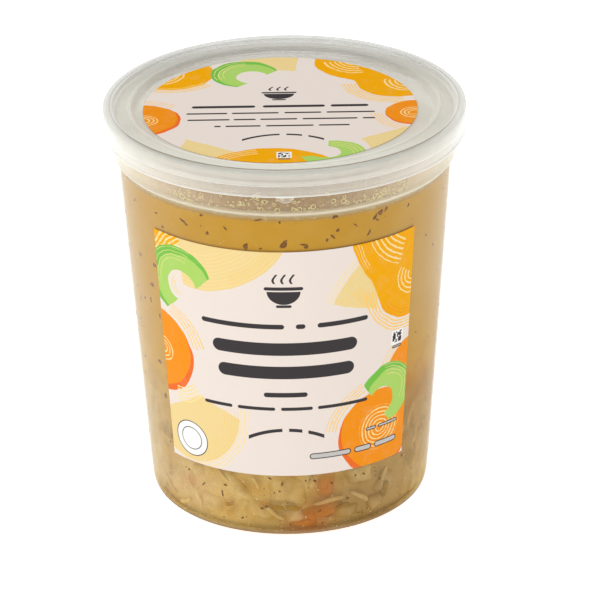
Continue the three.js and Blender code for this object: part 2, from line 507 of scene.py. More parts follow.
def lid_plastic(look):
    """Milkier plastic, a little uneven, with painted highlights along its edges, a painted shadow line along
    the crest, painted shade on its back and painted light on the front of its panel.
    """
    x, y, z = look.spot
    reach = length(x, y)
    front, back = (-y).between(10, 50), y.between(0, 45)
    high = z.between(SKIRT_STEP + 0.2, SKIRT_STEP + 0.8)
    thick = reach.between(CREST_INNER - 0.2, CREST_INNER + 0.6) * high
    inner = thick * (1 - reach.between(LID_RADIUS - 1.3, LID_RADIUS - 0.6))
    side = reach.between(LID_RADIUS - 0.5, LID_RADIUS - 0.1) * (1 - z.between(LID_TOP - 1.7, LID_TOP - 1))
    pan = 1 - reach.between(CREST_INNER - 1, CREST_INNER)
    on_crest = z.between(LID_TOP - 0.6, LID_TOP - 0.4)
    # Painted shadow: a dark line along the crest's top, strongest at the front, where shade falls in the
    # hollow crest.
    groove_shadow = 1 - (abs(reach - CREST_INNER - 1.45) - 0.35 * front).between(0.1, 0.35)
    groove_shadow = groove_shadow * on_crest * (0.35 + 0.65 * front)
    # Painted highlights: a bright line along the crest's inner edge, strongest at the front, and bright lines
    # at the skirt's step and bottom edge.
    shine = (0.4 + 0.6 * front) * close_to(reach, CREST_INNER + 0.75, 0.15, 0.4) * z.between(BAND, BAND + 0.2)
    lip_highlights = most(0.5 * close_to(z, SKIRT_STEP + 0.1, 0.1, 0.3), close_to(z, SKIRT_BOTTOM + 0.1, 0.1, 0.35))
    glint = most(shine, lip_highlights)
    thickness = 0.17 + 0.12 * look.noise(7, 3) + (0.06 + 0.4 * front) * pan + 0.08 * thick
    thickness = thickness + 0.12 * close_to(reach, RIDGE_RADIUS, 0.5, 0.9) + 0.4 * groove_shadow + 0.35 * glint
    thickness = thickness - 0.15 * (1 - z.between(SKIRT_BOTTOM - 0.3, SKIRT_BOTTOM))
    colour = look.blend(srgb(250, 250, 243), srgb(238, 238, 234), look.slant(1.5))
    for coat, share in (
        (srgb(206, 206, 197), inner * (0.15 + 0.7 * front)),
        (srgb(236, 233, 220), 0.8 * pan),
        # Painted light: the front of the panel is brightened, offsetting the shadow the crest casts on it.
        (srgb(255, 252, 241), 0.15 * pan * front),
        # Painted shade: the back half of the lid, all but its skirt, is greyed.
        (srgb(196, 197, 191), 0.8 * back * (1 - side)),
        (srgb(253, 253, 250), glint),
        (srgb(150, 136, 112), groove_shadow),
    ):
        colour = look.blend(colour, coat, share)
    scuffs = look.bumps(look.noise(9, 3), 0.06)
    return look.film(colour, thickness, 0.15, scuffs, 0.9, 0.6 - 0.4 * back)


def make_tub():
    mesh = turned("tub_shell", tub_profile())
    new_piece("tub_shell", mesh, material("tub_plastic", tub_plastic), "tub")


def make_lid():
    mesh = turned("lid_shell", lid_profile())
    plastic = material("lid_plastic", lid_plastic)
    new_piece("lid_shell", mesh, plastic, "lid")
    back = TAB_THICKNESS - (SKIRT_RADIUS - 0.05)
    middle = TAB_BOTTOM + TAB_RADIUS
    angles = np.radians(np.linspace(200, 340, 29))
    rings = []
    for inset, y in ((0.3, 0), (0, 0.2), (0, TAB_THICKNESS - 0.25), (0.3, TAB_THICKNESS)):
        r = TAB_RADIUS - inset
        rings.append([(r * math.cos(a), back - y, middle + r * math.sin(a)) for a in angles])
    tab = Pile()
    tab.skin(rings)
    tab.piece("lid_tab", plastic, "lid_plastic", "lid")


# ---- the labels ----

INK = srgb(62, 58, 60)
GROUND = srgb(232, 220, 211)
AMBER = srgb(240, 168, 2)
ORANGE = srgb(240, 144, 22)
RED_ORANGE = srgb(236, 108, 38)
GREEN = srgb(170, 209, 102)
DARK_GREEN = srgb(118, 190, 74)
YELLOW = srgb(235, 209, 146)
PALE = srgb(248, 220, 152)
STRAW = srgb(248, 200, 104)
STONE = srgb(196, 193, 188)
WHITE = srgb(246, 245, 242)


class Print:
    """Artwork on a label: inks laid one over another, in millimetres across and up. A shape is a field of
    distances from its outline, negative inside it."""

    def __init__(self, look, across, up):
        self.look, self.across, self.up = look, across, up
        self.colour = GROUND
        inputs = {"Vector": look.place, "Scale": 1 / (7 * MM), "Detail": 2}
        wander = look.add("ShaderNodeTexNoise", inputs).outputs["Color"]
        shift, lift, _ = (Field(part) for part in look.add("ShaderNodeSeparateColor", [wander]).outputs)
        loose = (across + 1.6 * (shift - 0.5), up + 1.6 * (lift - 0.5))
        self.loose = look.add("ShaderNodeCombineXYZ", loose).outputs[0]
        self.bristle = look.noise(1.1, 3, 0.6)

    def lay(self, ink, shape, strength=1):
        """Inks the inside of a shape."""
        share = self.look.add("ShaderNodeMapRange", (shape, 0.06, -0.06, 0, strength)).outputs[0]
        self.colour = self.look.blend(self.colour, ink, share)

    def measure(self, operation, point):
        """Distance from a point, or how far something lies along an arrow."""
        inputs = (self.loose, (*point, 0))
        return Field(self.look.add("ShaderNodeVectorMath", inputs, operation=operation).outputs["Value"])

    def disc(self, x, y, radius):
        return self.measure("DISTANCE", (x, y)) - radius

    def side(self, x, y, degrees):
        """All that lies behind a straight edge through a point, whose outer side faces a direction."""
        c, s = math.cos(math.radians(degrees)), math.sin(math.radians(degrees))
        return self.measure("DOT_PRODUCT", (c, s)) - (x * c + y * s)

    def sector(self, x, y, middle, spread):
        """A wedge round a point, spread degrees to each side of a direction, where spread is up to 90."""
        return most(self.side(x, y, middle + 90 + spread), self.side(x, y, middle - 90 - spread))

    def strokes(self, ink, x, y, inner, outer, spacing, width, middle, spread, strength=1):
        """Dry brush strokes in arcs round a point."""
        radius = self.measure("DISTANCE", (x, y))
        lines = calculate("PINGPONG", radius - inner, spacing / 2) - width / 2
        broken = lines + 1.3 * (self.bristle - 0.5) * width
        edge = 2.2 * (self.bristle - 0.5)
        ends = most(inner - width - radius, radius - outer, self.sector(x, y, middle, spread) + edge)
        self.lay(ink, most(broken, ends), strength)

    def bar(self, start, end, y, height, ink=INK):
        """A level bar with round ends."""
        beyond = most(abs(self.across - (start + end) / 2) - (end - start - height) / 2, 0)
        self.lay(ink, length(beyond, self.up - y) - height / 2)

    def line(self, y, height, *ends):
        """A line of level bars, each between two of the ends in turn."""
        for start, end in zip(ends[::2], ends[1::2]):
            self.bar(start, end, y, height)

    def arched_bar(self, x, y, radius, start, end, height):
        """A bar bent along a circle round a point, between two places across the label."""
        ring = abs(length(self.across - x, self.up - y) - radius) - height / 2
        self.lay(INK, most(ring, start - self.across, self.across - end, y - self.up))

    def plate(self, start, end, y, height):
        """A bar with a pale face and a thin dark outline."""
        self.bar(start, end, y, height)
        self.bar(start + 0.35, end - 0.35, y, height - 0.7, STONE)

    def code(self, x, y, size):
        """A white square with a field of small dark cells, and a small plate under it."""
        self.lay(WHITE, most(abs(self.across - x) - size / 2, abs(self.up - y) - size / 2))
        cell = size / 9
        column, row = calculate("FLOOR", self.across / cell), calculate("FLOOR", self.up / cell)
        spot = self.look.add("ShaderNodeCombineXYZ", (column, row)).outputs[0]
        chance = Field(self.look.add("ShaderNodeTexWhiteNoise", [spot]).outputs["Value"])
        half = 0.4 * size
        self.lay(INK, most(0.5 - chance, abs(self.across - x) - half, abs(self.up - y) - half))
        self.plate(x - half, x + half, y - 0.68 * size, 0.2 * size)

    def carrot(self, x, y, radius, rim, heart, rings, spacing):
        """A slice of carrot, whose face is shifted off its redder rim, with rings round its heart."""
        body = self.disc(x, y, radius)
        self.lay(RED_ORANGE, body)
        self.lay(ORANGE, most(body, self.disc(x + rim[0], y + rim[1], radius)))
        for middle in (60, 240):
            self.strokes(PALE, *heart, 1.6, rings, spacing, 0.42, middle, 90)

    def wear(self):
        """Thins the ink laid so far, in dry patches."""
        dry = self.look.noise(4, 4, 0.7).between(0.45, 0.75)
        self.colour = self.look.blend(self.colour, GROUND, 0.07 * dry)

    def bowl(self, x, y, size):
        """A plain sign of a steaming bowl, size millimetres across."""
        half = size / 2
        dish = most(length(self.across - x, (self.up - y) / 0.9) - half * 0.86, self.up - y)
        self.lay(INK, dish)
        self.bar(x - half, x + half, y + 0.09 * size, 0.1 * size)
        self.bar(x - 0.4 * half, x + 0.4 * half, y - 0.44 * size, 0.08 * size)
        for step in (-1, 0, 1):
            wave = 0.05 * size * calculate("SINE", (self.up - y) * (14 / size))
            line = abs(self.across - (x + step * 0.22 * size) - wave) - 0.03 * size
            self.lay(INK, most(line, y + 0.24 * size - self.up, self.up - y - 0.52 * size))


def wall_print(art):
    """The wall label's artwork: slices, stalks and curls of soup vegetables as plain fields of ink."""
    art.lay(AMBER, art.side(-36.5, 103.3, -70))
    art.strokes(PALE, -26, 90, 14, 24, 1.5, 0.6, 128, 30)
    art.lay(YELLOW, most(art.disc(-29.4, 122.4, 32.6), art.side(-34.5, 100, 180)))
    art.strokes(PALE, -29.4, 122.4, 20, 32.4, 1.3, 0.3, 285, 42, 0.45)
    art.strokes(STRAW, -29.4, 122.4, 28, 32.4, 1.1, 0.3, 318, 24, 0.45)

    def crescent(x, y, outer, hole_x, hole_y, hole, cut_x, cut_y, cut):
        opening = most(-art.disc(hole_x, hole_y, hole), art.side(cut_x, cut_y, cut))
        body = most(art.disc(x, y, outer), opening)
        art.lay(GREEN, body)
        art.lay(DARK_GREEN, most(body, -art.disc(x + 0.1 * outer, y - 0.1 * outer, outer * 0.88)))
        art.strokes(DARK_GREEN, x, y, outer * 0.7, outer, outer * 0.09, 0.2, cut + 180, 60, 0.6)
        art.strokes(PALE, x, y, outer * 0.62, outer, outer * 0.11, 0.18, cut + 180, 65, 0.8)

    crescent(-36.3, 90.6, 12.6, -35.2, 89.2, 5.4, -33, 87.1, -50)
    art.strokes(YELLOW, -35.2, 89.2, 2.6, 4.2, 0.8, 0.3, 200, 60)

    art.carrot(-47.6, 62.6, 15, (-1.2, 1.9), (-45.9, 63.3), 5.2, 1.35)
    art.strokes(STRAW, -47.6, 62.6, 16.6, 21, 1.2, 0.4, 42, 26)
    lobe = most(art.disc(-36.7, 45.2, 20.3), art.side(-30.5, 50.5, 119), art.side(-30.5, 50.5, 66))
    art.lay(YELLOW, lobe)
    art.strokes(STRAW, -36.7, 45.2, 15, 20, 1.2, 0.3, -30, 40, 0.4)
    art.strokes(PALE, -36.7, 45.2, 20.8, 24, 1.2, 0.35, -38, 45)
    art.strokes(PALE, -40, 60, 9, 14.5, 1.2, 0.5, -68, 24)

    art.lay(YELLOW, most(art.disc(43.9, 76.5, 30.9), art.side(14.5, 86.1, -107), art.side(29.4, 85, 0)))
    art.strokes(PALE, 43.9, 76.5, 31.4, 33.6, 1, 0.26, 147, 14)
    art.strokes(STRAW, 11, 80, 13.6, 17, 0.9, 0.26, 30, 14)
    art.strokes(STRAW, 42.8, 88.4, 14.3, 18.4, 1.1, 0.5, 228, 48)
    swoosh = calculate("SMOOTH_MIN", art.disc(48.5, 111.9, 28.8), art.disc(42.8, 88.4, 13.3), 7)
    art.lay(AMBER, swoosh)
    art.strokes(PALE, 48.5, 111.9, 26.2, 28, 0.9, 0.22, 203, 10)
    art.strokes(ORANGE, 42.8, 88.4, 10.6, 13, 1.1, 0.22, 250, 40)
    art.strokes(PALE, 43, 112, 9, 17.5, 1.7, 0.55, 222, 30)
    art.strokes(PALE, 44.5, 89.8, 2.4, 7.6, 1.5, 0.5, 205, 60)

    art.lay(ORANGE, art.disc(46.3, 55.5, 11.6))
    art.strokes(STRAW, 46.3, 55.5, 12.2, 14.6, 1.1, 0.25, 155, 25)
    art.carrot(32.2, 36.3, 15.3, (1, 1.6), (32.4, 37.4), 8.2, 1.35)
    art.strokes(STRAW, 32.2, 36.3, 16.8, 20.2, 1.1, 0.35, 140, 30)
    crescent(35.4, 49.6, 10.6, 32.8, 47, 5, 31.4, 46, -146)

    art.wear()
    seal = length(art.across + 35.9, (art.up - 33.1) / 0.93)
    art.lay(INK, seal - 6.9)
    art.lay(WHITE, seal - 6.55)
    art.lay(INK, abs(seal - 4.3) - 0.16)
    art.code(38.4, 68.6, 5)

    art.bowl(-1, 92.2, 12)
    art.line(79.5, 1.7, -28, -1, 2.6, 5.6, 9.4, 26.2)
    art.line(71.3, 4.6, -24.5, 22.6)
    art.line(62.7, 4.6, -23, 21.7)
    art.line(54.5, 1.7, -8, 6.2)
    art.line(49.3, 1.2, -28.9, -18.8, -16.9, -4.4, -2.5, 7.9, 9.6, 27)
    for start, end in ((-13.6, -2.2), (0, 4.4), (6.4, 11.8)):
        art.arched_bar(-0.8, 14.5, 27, start, end, 1.2)
    for start, end in ((26.8, 31), (31.8, 40.2)):
        art.plate(start, end, 37.9, 1.3)
    for start, end in ((6.8, 21.4), (22.6, 29.2), (30.4, 40.1)):
        art.plate(start, end, 31.3, 2.2)


def lid_print(art):
    """The lid label's artwork, in the manner of the wall's."""
    art.lay(AMBER, art.disc(-37, 31.5, 14))
    art.strokes(PALE, -41, 30, 3, 9, 1.6, 0.5, -30, 60)
    art.strokes(STRAW, -37, 31.5, 13.2, 17, 1.1, 0.5, -80, 40)
    wedge = most(art.side(4.2, 38, -8), art.side(-2, 33.1, -99), art.side(-11.3, 38.3, -137))
    art.lay(YELLOW, wedge)
    crescent = most(art.disc(-13, 30, 11.2), -art.disc(-10.6, 27.2, 5.3), art.side(-9.5, 25, -42))
    art.lay(GREEN, crescent)
    art.lay(DARK_GREEN, most(crescent, -art.disc(-12, 29, 9.9)))
    art.strokes(PALE, -13, 30, 7.2, 11, 1.4, 0.22, 150, 60)

    art.strokes(STRAW, 37, 22, 14.2, 18.6, 1.1, 0.5, 232, 46)
    art.lay(AMBER, calculate("SMOOTH_MIN", art.disc(26, 40, 15.9), art.disc(37, 22, 13.3), 6))
    art.strokes(PALE, 24, 41, 4, 12, 1.7, 0.55, 235, 45)
    art.strokes(PALE, 41, 22, 3, 8.5, 1.6, 0.55, 215, 50)

    art.lay(YELLOW, most(art.side(31, -21.8, 122), art.side(26, -30, 200)))
    art.carrot(43, -4.7, 10.4, (0, 1.1), (42, -4.7), 5, 1.3)
    art.carrot(-46, -8.5, 12.6, (-1.1, 1.1), (-45.2, -8.5), 5, 1.3)
    art.strokes(STRAW, -46, -8.5, 13.9, 16.4, 1.1, 0.3, 70, 22)
    art.strokes(STRAW, 43, -4.7, 11.6, 15.5, 1.1, 0.35, 215, 34)

    art.lay(YELLOW, most(art.side(-25.2, -28.9, 57), art.side(-32.3, -28, 169)))
    art.lay(AMBER, art.disc(-4.5, -57, 24.3))
    art.strokes(PALE, -4.5, -57, 20.5, 23.6, 1.4, 0.35, 118, 16)
    stalk = most(art.disc(15.5, -37.5, 10.4), -art.disc(13, -36.4, 4.7))
    stalk = most(stalk, -most(art.side(14, -36, 0), art.side(14, -39.6, -90)))
    art.lay(GREEN, stalk)
    art.strokes(PALE, 15.5, -37.5, 6.4, 10.2, 1.3, 0.22, 45, 50)

    art.wear()
    art.code(-0.2, -38.4, 4.8)
    art.bowl(-1.7, 12.6, 11.5)
    art.line(2, 1.9, -30, -9.4, -7, 13.2, 15, 27.3)
    art.line(-3.5, 1.1, -31.7, -18.4, -17, -1.8, 0, 12, 13.6, 29.3)
    art.line(-8.8, 1.1, -31.3, -17.6, -16.4, -9.2, -7.8, 4.2, 5.8, 23.6, 25.2, 29.3)
    art.line(-14.3, 1.1, -22.6, -20.4, -19, -7.6, -6, 9.4, 11, 21)
    for start, end in ((-13.6, -1.6), (0.6, 5.6), (7.6, 12.6)):
        art.arched_bar(-0.6, -43.6, 22, start, end, 1.2)


def label_paper(look, across, up, draw, sheen):
    """Paper with its print: a soft sheen, and a very fine grain."""
    art = Print(look, across, up)
    draw(art)
    grain = look.noise(0.8, 3)
    normal = look.bumps(look.noise(11) + 0.06 * grain, 0.12)
    return look.solid(art.colour, 0.36 + 0.12 * grain, sheen, Normal=normal)


def wall_label_paper(look):
    """Printed in distance round the wall, at the label's mean radius, and in height."""
    x, y, z = look.spot
    return label_paper(look, LABEL_MEAN_RADIUS * calculate("ARCTAN2", x, -y), z, wall_print, 0.05)


def lid_label_paper(look):
    x, y, _ = look.spot
    return label_paper(look, x, y, lid_print, 0.005)


def make_wall_label():
    """A thin sheet that follows the cone, stuck on with its middle a little left of the front."""
    columns, rows = 96, 40
    angles = np.linspace(-0.5, 0.5, columns + 1) * WALL_LABEL_SPAN + WALL_LABEL_TURN - math.pi / 2
    heights = np.linspace(LABEL_BOTTOM, LABEL_TOP, rows + 1)
    vertices, faces = [], []
    for lift in (LABEL_LIFT + LABEL_THICKNESS, LABEL_LIFT):
        for z in heights:
            r = cone_radius(z) + lift
            vertices += [(r * math.cos(a), r * math.sin(a), z) for a in angles]
    across = columns + 1
    layer = across * (rows + 1)

    def quad(a, b):
        faces.append((a, b, b + layer, a + layer))

    for i in range(rows):
        for j in range(columns):
            a = i * across + j
            faces.append((a, a + 1, a + 1 + across, a + across))
            faces.append((a + layer, a + across + layer, a + across + 1 + layer, a + 1 + layer))
        quad(i * across + across, i * across)
        quad(i * across + columns, (i + 1) * across + columns)
    for j in range(columns):
        quad(j, j + 1)
        quad(rows * across + j + 1, rows * across + j)
    paper = material("wall_label_paper", wall_label_paper)
    mesh = mesh_of("wall_label_sheet", vertices, faces)
    new_piece("wall_label_sheet", mesh, paper, "wall_label")


def make_lid_label():
    """A thin disc on the lid's panel."""
    bottom = PANEL + LABEL_LIFT
    top = bottom + LABEL_THICKNESS
    r = LID_LABEL_RADIUS
    edge = rounded([(r - 2, bottom), (r, bottom), (r, top), (r - 2, top)], 0.08)
    mesh = turned("lid_label_sheet", [(0, bottom), *edge, (0, top)], 160)
    mesh.transform(Matrix.Translation((LID_LABEL_X * MM, 0, 0)))
    paper = material("lid_label_paper", lid_label_paper)
    new_piece("lid_label_sheet", mesh, paper, "lid_label")


# ---- the soup ----


CARROT_TINT = srgb(190, 104, 0)
CREAM_TINT = srgb(238, 206, 140)
BROWN_TINT = srgb(150, 106, 24)

# Tints laid on the broth: the carrot and cream ones are solids lying deeper that show through, and the brown
# ones darken it low at the front and round the right side. Each tint's angle, height, reach round that point,
# colour and strength.
TINTS = (
    (36, 8, 28, BROWN_TINT, 0.7),
    (0, 2, 22, BROWN_TINT, 0.4),
    (-42, 14, 15, CREAM_TINT, 0.5),
    (62, 34, 30, BROWN_TINT, 0.5),
    (200, 16, 22, CREAM_TINT, 0.4),
    (110, 8, 20, BROWN_TINT, 0.4),
    (14.5, 19, 7, CARROT_TINT, 0.6),
    (13, 9, 9, CARROT_TINT, 0.6),
    (6, 4, 11, CARROT_TINT, 0.7),
    (-46, 15, 5, CARROT_TINT, 0.4),
    (58, 46, 16, CARROT_TINT, 0.3),
    (140, 20, 9, CARROT_TINT, 0.5),
    (225, 12, 8, CARROT_TINT, 0.5),
)


def broth_colour(look):
    """Amber broth at the top, cloudier and more olive where the solids have settled."""
    _, _, z = look.spot
    drift = look.noise(22, 3)
    settled = 1 - (z + 24 * (drift - 0.5)).between(18, 70)
    olive = look.noise(6, 2).between(0.48, 0.7)
    low = look.blend(srgb(214, 168, 64), srgb(182, 138, 34), olive)
    colour = look.blend(srgb(196, 146, 28), low, settled)
    cloudy = look.noise(7, 3).between(0.4, 0.66) * (0.06 + 0.6 * settled)
    colour = look.blend(colour, srgb(232, 202, 122), cloudy)
    for angle, height, reach, tint, strength in TINTS:
        centre = Vector(at_wall(angle, height, 0)) * MM
        away = look.add("ShaderNodeVectorMath", (look.place, centre), operation="DISTANCE").outputs["Value"]
        share = strength * (1 - (Field(away) / MM).between(0.2 * reach, reach))
        colour = look.blend(colour, tint, share)
    return colour


def sunk_depth(look):
    """How far in from the wall a point lies, from 0 at the wall to 1 where the broth hides everything."""
    x, y, z = look.spot
    wall = CONE_BOTTOM_RADIUS - SOUP_IN + (z - CORNER) * math.tan(TAPER)
    in_corner = most(CORNER - z, 0)
    inner = CORNER - SOUP_IN
    corner_radius = calculate("SQRT", most(inner**2 - in_corner * in_corner, 0))
    wall = least(wall, CONE_BOTTOM_RADIUS - CORNER + corner_radius + 100 * z.between(CORNER, CORNER + 0.1))
    return (wall - length(x, y)) / CORE_DEPTH


def broth_veil(look):
    """The outer millimetres of the broth, which the solids show through. It is densest above them."""
    _, _, z = look.spot
    cloud = look.noise(6, 4, 0.6)
    drift = look.noise(16, 3)
    dense = (z + 40 * (drift - 0.5)).between(30, 72) + 0.6 * (1 - z.between(0, 5))
    hidden = least(0.04 + 0.42 * cloud + dense + 0.5 * look.slant(2), 1)
    return look.thin(hidden, look.solid(broth_colour(look), 0.7, 0))


def broth_core(look):
    """The broth too deep to see into, lightened towards cream: painted light that offsets the shade the veil
    casts on it.
    """
    return look.solid(look.blend(broth_colour(look), CREAM_TINT, 0.22), 0.6, 0.1)


def soup_profile(inset, top):
    """The soup's outline, a distance in from its face, up to a height."""
    floor = FOOT_RECESS + WALL + 0.4 * inset
    corner = arc((CONE_BOTTOM_RADIUS - CORNER, CORNER), CORNER - SOUP_IN - inset, -90, -5, 10)
    return [
        (0, floor),
        (FOOT_INNER - FOOT_RECESS, floor),
        *((r, z - 1.3 * inset * (1 - z / CORNER)) for r, z in corner),
        *((cone_radius(z) - SOUP_IN - inset, z) for z in np.linspace(CORNER + 2, top, 16)),
        (0, top),
    ]


def make_broth():
    core = turned("broth_core", soup_profile(CORE_DEPTH, SOUP_LEVEL - 0.3))
    new_piece("broth_core", core, material("broth_core", broth_core), "soup")
    veil = turned("broth", soup_profile(0, SOUP_LEVEL))
    new_piece("broth", veil, material("broth", broth_veil), "soup")


# ---- what floats in the soup ----


def at_wall(angle, height, depth):
    """The point a depth in from the soup's face, at an angle in degrees to the right of the front."""
    height = max(height, LOWEST)
    return around(math.radians(angle), soup_radius(height) - depth - UNDER_FACE, height)


def turned_by(across, up, degrees):
    """A step across and up, turned anticlockwise."""
    c, s = math.cos(math.radians(degrees)), math.sin(math.radians(degrees))
    return across * c - up * s, across * s + up * c


def chunk(
    pile, draw, angle, height, wide, tall, tilt, near,
    far=CORE_DEPTH + 0.6, square=2.4, points=20, flat=3.2, rough=1,
):
    """A lump pressed to the wall. Its middle is near the soup's face, and its edges curve far into the broth.
    A higher square makes it boxier, and a higher flat keeps more of it near."""
    waves = [draw.uniform(0, FULL_TURN) for _ in range(4)]
    rings = []
    for share, back in ((0.3, 0), (0.55, 0), (0.75, 0), (0.9, 0), (1, 0), (0.6, 1)):
        ring = []
        for a in circle(points):
            c, s = math.cos(a), math.sin(a)
            outline = (abs(c) ** square + abs(s) ** square) ** (-1 / square)
            outline *= 1 + rough * (0.1 * math.sin(2 * a + waves[0]) + 0.07 * math.sin(3 * a + waves[1]))
            outline *= 1 + rough * 0.05 * math.sin(5 * a + waves[2])
            outline *= share
            across, up = turned_by(wide / 2 * outline * c, tall / 2 * outline * s, tilt)
            ripple = 0.12 * (far - near) * math.sin(3 * a + 5 * share + waves[3]) * share
            depth = far if back else near + (far - near) * share**flat + abs(ripple)
            ring.append(at_wall(angle + math.degrees(across / cone_radius(height)), height + up, depth))
        rings.append(ring)
    pile.skin(rings)


def strand(pile, draw, angle, height, long, wide, thick, tilt, near, bend=0, dive=0.6, sides=10, steps=14):
    """A strip that follows the wall, bent sideways, with rounded ends that dive deeper into the broth."""
    wobble = draw.uniform(0, FULL_TURN)
    rings = []
    for i in range(steps + 1):
        t = 2 * i / steps - 1
        half = wide / 2 * math.sqrt(max(1 - t**8, 0.04)) * (1 + 0.12 * math.sin(4 * t + wobble))
        sideways = 0.4 * bend * (t * t - 0.4) + 0.02 * long * math.sin(2.5 * t + wobble)
        ring = []
        for a in circle(sides):
            c, s = math.cos(a), math.sin(a)
            flat, s = math.copysign(abs(c) ** 0.6, c), math.copysign(abs(s) ** 0.6, s)
            across, up = turned_by(long / 2 * t, sideways + half * flat, tilt)
            depth = near + dive * t * t + thick / 2 * (1 + s) + 0.1 * math.sin(5 * t + wobble) + 0.1
            ring.append(at_wall(angle + math.degrees(across / cone_radius(height)), height + up, depth))
        rings.append(ring)
    pile.skin(rings)


def sunk(own_colour, least_share):
    """A wet solid. Its colour fades into the broth's by a least share, and by more with its depth and near
    the floor."""

    def shader(look):
        _, _, z = look.spot
        gone = most(sunk_depth(look).between(0, 1), 1 - z.between(1, 3.6))
        share = least_share + (1 - least_share) * gone
        return look.solid(look.blend(own_colour(look), broth_colour(look), share), 0.6, 0.08)

    return shader


def two_tone(first, second, size):
    """A colour that drifts between two, in patches of a size."""
    return lambda look: look.blend(first, second, look.noise(size).between(0.35, 0.65))


def anywhere(draw, first=60, last=300):
    """An angle away from the front, and a height: most solids lie low, a few hang higher."""
    return draw.uniform(first, last), 3 + 52 * draw.random() ** 1.6


def make_noodles(draw):
    """Broad flat noodles, folded and broken."""
    pile = Pile()
    for angle, height, wide, tall, tilt, near in (
        (-1, 17.5, 15, 13, -8, 0.2),
        (-24, 17.5, 8, 16, 38, 0.1),
        (31, 20.5, 14, 9, 4, 0.2),
        (-57, 12.5, 8, 14, -10, 0.5),
        (-36, 9, 12, 9, -16, 0.6),
        (24, 7.5, 12, 7, -8, 1.1),
        (-13, 9.5, 13, 8, -20, 0.7),
        (44, 14, 11, 9, 50, 0.6),
        (2, 8, 9, 7, 20, 0.6),
        (62, 36, 5, 10, -6, 0.6),
        (-66, 40, 8, 12, 10, 0.6),
    ):
        chunk(pile, draw, angle, height, wide, tall, tilt, near, square=4, flat=2.4, points=28)
    for _ in range(NOODLES):
        angle, height = anywhere(draw, 62, 298)
        long, wide = draw.uniform(9, 20), draw.uniform(5, 9)
        near, tilt = draw.uniform(0.3, 1.4), draw.uniform(0, 180)
        chunk(pile, draw, angle, height, wide, long, tilt, near, square=4, flat=2.4, points=28)
    paint = two_tone(srgb(248, 226, 166), srgb(230, 200, 130), 4)
    pile.piece("noodles", material("noodle", sunk(paint, 0.12)))


def make_chicken(draw):
    """Lumps and torn shreds of pale meat."""
    pile = Pile()
    for angle, height, wide, tall, tilt in (
        (-37, 8, 9, 6, 20),
        (9.5, 20.6, 3.2, 7.2, -24),
        (38, 8, 7, 6, -30),
        (-42, 20, 6, 6, 10),
        (16.8, 6.4, 2.4, 2.6, 0),
    ):
        chunk(pile, draw, angle, height, wide, tall, tilt, 0.3)
    for angle, height, long, wide, tilt, bend in (
        (16, 13.2, 11, 1.6, 6, 0.1),
        (30, 12.6, 8.5, 1.6, -38, -0.6),
        (-6.4, 9.2, 7.5, 1.4, -36, 0.5),
        (-41.4, 10, 7, 1.5, -72, 0.4),
        (42, 18, 5.5, 1.6, 66, 0.2),
        (-14, 20.5, 5, 1.2, -62, 0.3),
        (-27, 20, 9, 1.8, -48, 0.4),
        (51, 30, 8, 1.8, 78, 0.4),
        (57, 36, 9, 1.8, 70, -0.5),
        (62, 26, 8, 2, 60, 0.5),
        (-50, 6.5, 6, 1.6, 30, 0.5),
    ):
        strand(pile, draw, angle, height, long, wide, 0.7, tilt, 0, bend, 0.3)
    for _ in range(CHICKEN_LUMPS):
        size = draw.uniform(6, 13)
        place, tall = anywhere(draw), size * draw.uniform(0.5, 0.9)
        chunk(pile, draw, *place, size, tall, draw.uniform(0, 180), draw.uniform(0.1, 0.8))
    for _ in range(CHICKEN_SHREDS):
        place, long, wide = anywhere(draw), draw.uniform(4, 11), draw.uniform(0.9, 2.6)
        tilt, near, bend = draw.uniform(0, 180), draw.uniform(0.1, 1.4), draw.uniform(-1, 1)
        strand(pile, draw, *place, long, wide, 0.8, tilt, near, bend, 0.8, 8, 10)

    def fibres(look):
        stretched = look.add("ShaderNodeMapping", {"Vector": look.place, "Scale": (1, 1, 0.35)}).outputs[0]
        return look.blend(srgb(240, 216, 152), srgb(218, 188, 116), look.noise(0.9, 3, place=stretched))

    pile.piece("chicken", material("chicken", sunk(fibres, 0.3)))


def make_carrots(draw):
    """Soft lumps cut from carrots."""
    pile = Pile()
    for angle, height, wide, tall, tilt, near in (
        (15.5, 19, 7.5, 13, -16, 0.45),
        (13.5, 9, 19, 7.5, 16, 0.5),
        (6, 5.2, 12, 5, 10, 0.8),
        (-10.4, 12, 5, 4.2, 10, 0.7),
        (-46.4, 15.5, 4.6, 6.6, 10, 0.7),
        (56, 27, 3.2, 4.5, 0, 0.1),
        (64, 52, 4, 7, 10, 0.2),
    ):
        chunk(pile, draw, angle, height, wide, tall, tilt, near, square=2.8, flat=2.4)
    for _ in range(CARROTS):
        size = draw.uniform(4, 10)
        place, tall = anywhere(draw, 62, 298), size * draw.uniform(0.5, 1)
        chunk(pile, draw, *place, size, tall, draw.uniform(0, 180), draw.uniform(0.1, 0.9), square=3.2)
    paint = two_tone(srgb(214, 116, 0), srgb(206, 132, 0), 3)
    pile.piece("carrots", material("carrot", sunk(paint, 0.15)))


